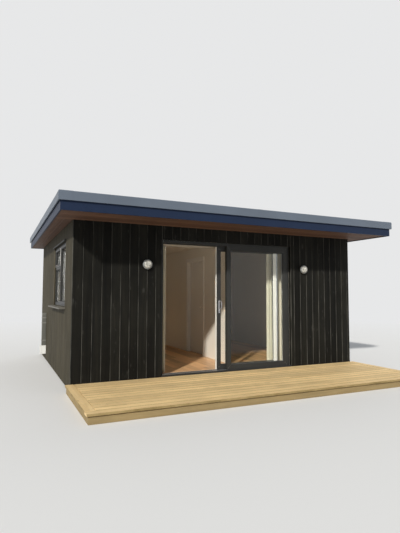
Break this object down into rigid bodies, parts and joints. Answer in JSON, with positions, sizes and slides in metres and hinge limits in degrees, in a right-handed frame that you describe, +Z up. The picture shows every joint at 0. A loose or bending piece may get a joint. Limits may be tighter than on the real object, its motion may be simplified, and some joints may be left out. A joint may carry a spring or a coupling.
{
  "type": "garden office pod",
  "caption": "Flat-roofed timber garden room with dark vertical cladding, deep front overhang, sliding patio door, side window, inner partition and a timber deck.",
  "frame": {"origin": "on the ground, in the middle of the area the pod covers", "axes": "+X along the front to the right, +Y from the deck into the building, +Z up"},
  "size_m": [5.802, 6.209, 2.711],
  "materials": {
    "framing": "sawn treated timber",
    "sheet_floor": "flooring board over insulation",
    "oak_floor": "oiled oak boards",
    "lining": "painted board lining, cream",
    "cladding_front": "dark stained boards",
    "cladding_side": "dark stained boards",
    "roof_core": "insulated roof panel",
    "membrane": "rubber roof sheet",
    "fascia_paint": "painted dark slate blue, satin",
    "trim_metal": "mid grey coated edge trim",
    "soffit_wood": "stained brown boards",
    "gutter_plastic": "anthracite plastic",
    "door_frame_plastic": "anthracite outside, white inside",
    "clear_glass": "clear sealed unit",
    "chrome_handle": "polished",
    "window_plastic": "anthracite outside, white inside",
    "sill_plastic": "pale grey",
    "joinery": "white satin paint",
    "track_plastic": "white",
    "curtain_cloth": "cream woven cloth",
    "deck_timber": "treated softwood",
    "light_body": "opal lens in a pale rim",
    "duct_plastic": "grey"
  },
  "bodies": {
    "pod": {"base_frame": "framing", "floor_panel": "sheet_floor", "floor_boards": "oak_floor", "front_wall_left": "lining", "front_wall_right": "lining", "front_wall_header": "lining", "left_wall": "lining", "right_wall": "lining", "back_wall": "lining", "front_cladding": "cladding_front", "left_cladding": "cladding_side", "right_cladding": "cladding_front", "back_cladding": "cladding_front", "roof_panel": "roof_core", "roof_membrane": "membrane", "ceiling": "lining", "fascia_front": "fascia_paint", "fascia_left": "fascia_paint", "fascia_right": "fascia_paint", "fascia_back": "fascia_paint", "edge_trim_front": "trim_metal", "edge_trim_left": "trim_metal", "edge_trim_right": "trim_metal", "soffit_front": "soffit_wood", "soffit_left": "soffit_wood", "soffit_right": "soffit_wood", "gutter": "gutter_plastic", "door_frame": "door_frame_plastic", "fixed_panel": "door_frame_plastic", "fixed_glass": "clear_glass", "window_frame": "window_plastic", "window_glass": "clear_glass", "window_sill": "sill_plastic", "partition_front": "lining", "partition_back": "lining", "partition_header": "lining", "inner_door_lining": "joinery", "curtain_track": "track_plastic", "curtain_left": "curtain_cloth", "curtain_right": "curtain_cloth", "deck": "deck_timber", "wall_light_left": "light_body", "wall_light_right": "light_body", "service_duct": "duct_plastic"},
    "sliding_door": {"sliding_panel": "door_frame_plastic", "sliding_glass": "clear_glass", "sliding_handle": "chrome_handle"},
    "inner_door_leaf": {"inner_door": "joinery"}
  },
  "joints": [
    {"name": "patio_slide", "type": "slide", "parent": "pod", "child": "sliding_door", "axis": [1, 0, 0], "range_m": [-0.983, 0.07]},
    {"name": "inner_door_hinge", "type": "hinge", "parent": "pod", "child": "inner_door_leaf", "pos_m": [0.446, 1.1265, 0.122], "axis": [0, 0, 1], "range_deg": [0, 90]}
  ]
}
